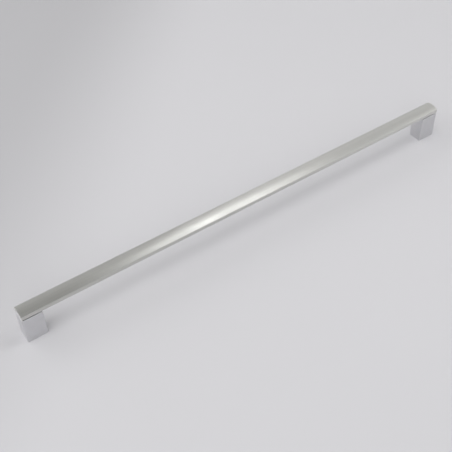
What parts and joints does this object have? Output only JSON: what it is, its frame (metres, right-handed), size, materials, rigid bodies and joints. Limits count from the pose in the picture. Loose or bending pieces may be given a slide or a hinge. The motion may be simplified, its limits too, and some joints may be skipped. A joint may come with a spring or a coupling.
{
  "type": "furniture handle",
  "caption": "Straight bar handle for furniture: a crowned satin bar carried at its ends by rectangular legs, with a screw bore in the base of each leg.",
  "frame": {"origin": "on the mounting surface, midway between the two legs", "axes": "+X along the bar towards the right leg, +Y to the back, +Z away from the mounting surface"},
  "size_m": [0.4668, 0.0142, 0.035],
  "materials": {
    "bar": "satin, fine lengthwise grain, slightly warm grey",
    "legs": "satin plated zinc casting, cool light grey",
    "screws": "plain zinc plated steel"
  },
  "bodies": {
    "root": {"bar": "bar", "leg_left": "legs", "leg_right": "legs", "set_screw_left": "screws", "set_screw_right": "screws"}
  },
  "joints": []
}
